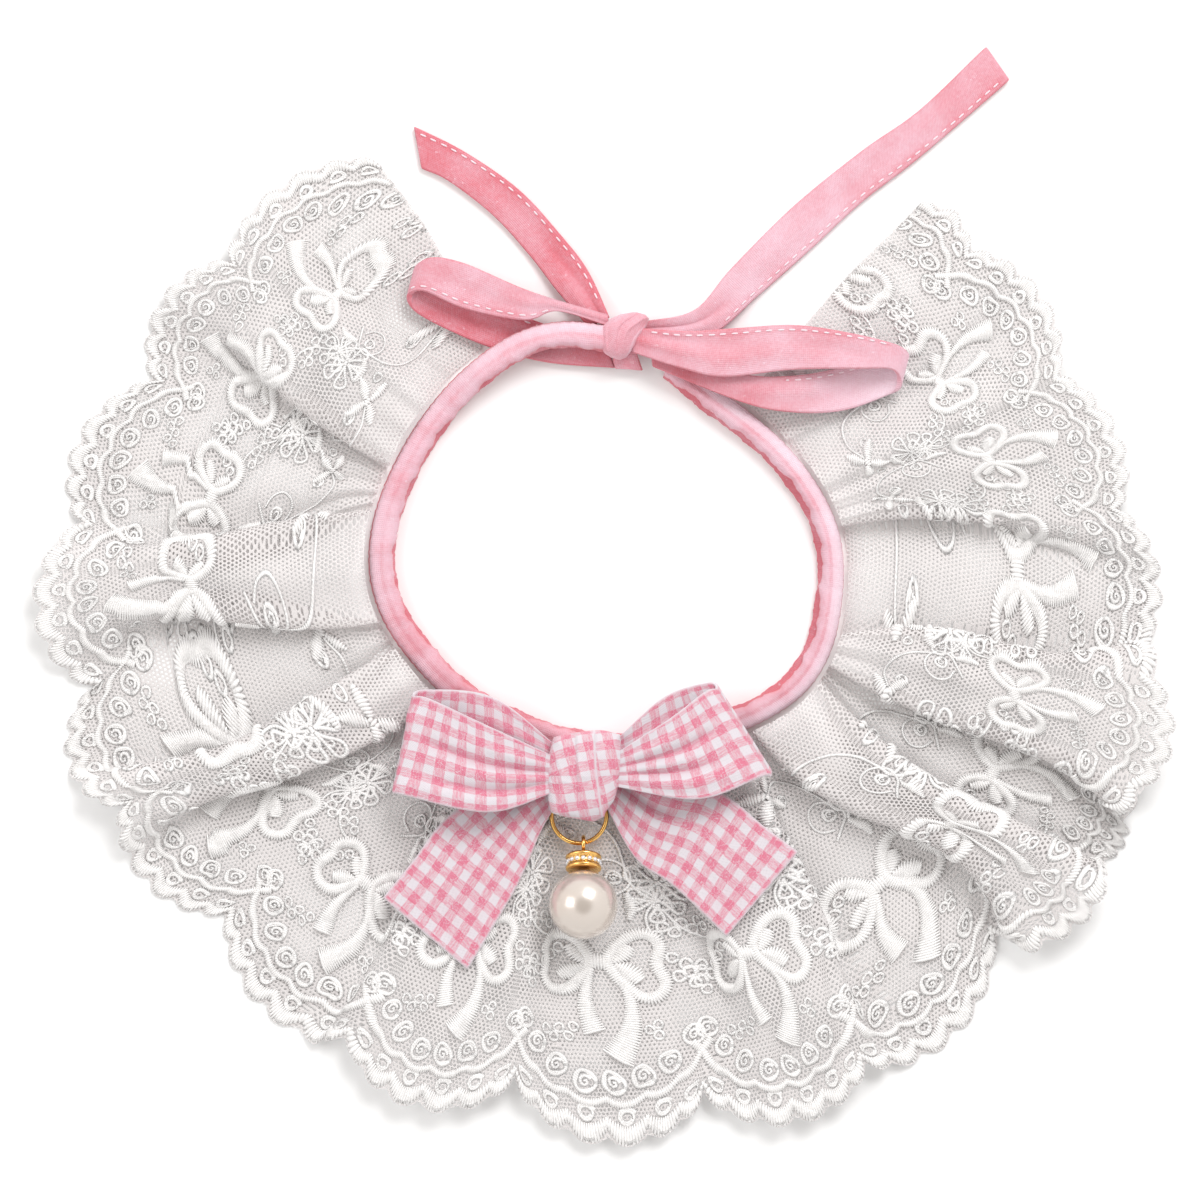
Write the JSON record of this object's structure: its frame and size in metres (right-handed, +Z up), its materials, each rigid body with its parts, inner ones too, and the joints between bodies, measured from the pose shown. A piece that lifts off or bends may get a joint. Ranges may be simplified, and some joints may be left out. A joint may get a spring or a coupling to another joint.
{
  "type": "pet lace collar",
  "caption": "Small pet's bib collar: gathered scalloped lace ruffle on a folded neckband tied in a bow at the back, gingham bow and swinging pearl drop at the front.",
  "frame": {"origin": "on the surface that the collar lies on, under the middle of its bounding box", "axes": "+Z up off the surface, +Y from the pearl drop at the front towards the tied bow at the back, +X to the right as seen from above"},
  "size_m": [0.2271, 0.2198, 0.0153],
  "materials": {
    "neckband": "matt cotton bias tape",
    "ties": "matt cotton bias tape with pale edge stitching",
    "lace": "white embroidered net",
    "gingham": "pink and white yarn-dyed check",
    "gold": "polished gold-coloured wire",
    "stones": "gold-coloured setting with clear cut stones round its edge",
    "pearl": "glossy imitation pearl"
  },
  "bodies": {
    "collar": {"neckband": "neckband", "lace_ruffle": "lace", "back_knot": "ties", "tie_tail_left": "ties", "tie_tail_right": "ties", "tie_loop_left": "ties", "tie_loop_right": "ties", "bow_loop_left": "gingham", "bow_loop_right": "gingham", "bow_tail_left": "gingham", "bow_tail_right": "gingham", "bow_knot": "gingham", "jump_ring": "gold"},
    "drop": {"drop_eye": "gold", "drop_cap": "stones", "pearl": "pearl"}
  },
  "joints": [
    {"name": "drop_swing", "type": "hinge", "parent": "collar", "child": "drop", "pos_m": [-0.004, -0.0497, 0.0035], "axis": [-1, 0, 0], "range_deg": [0, 60]}
  ]
}
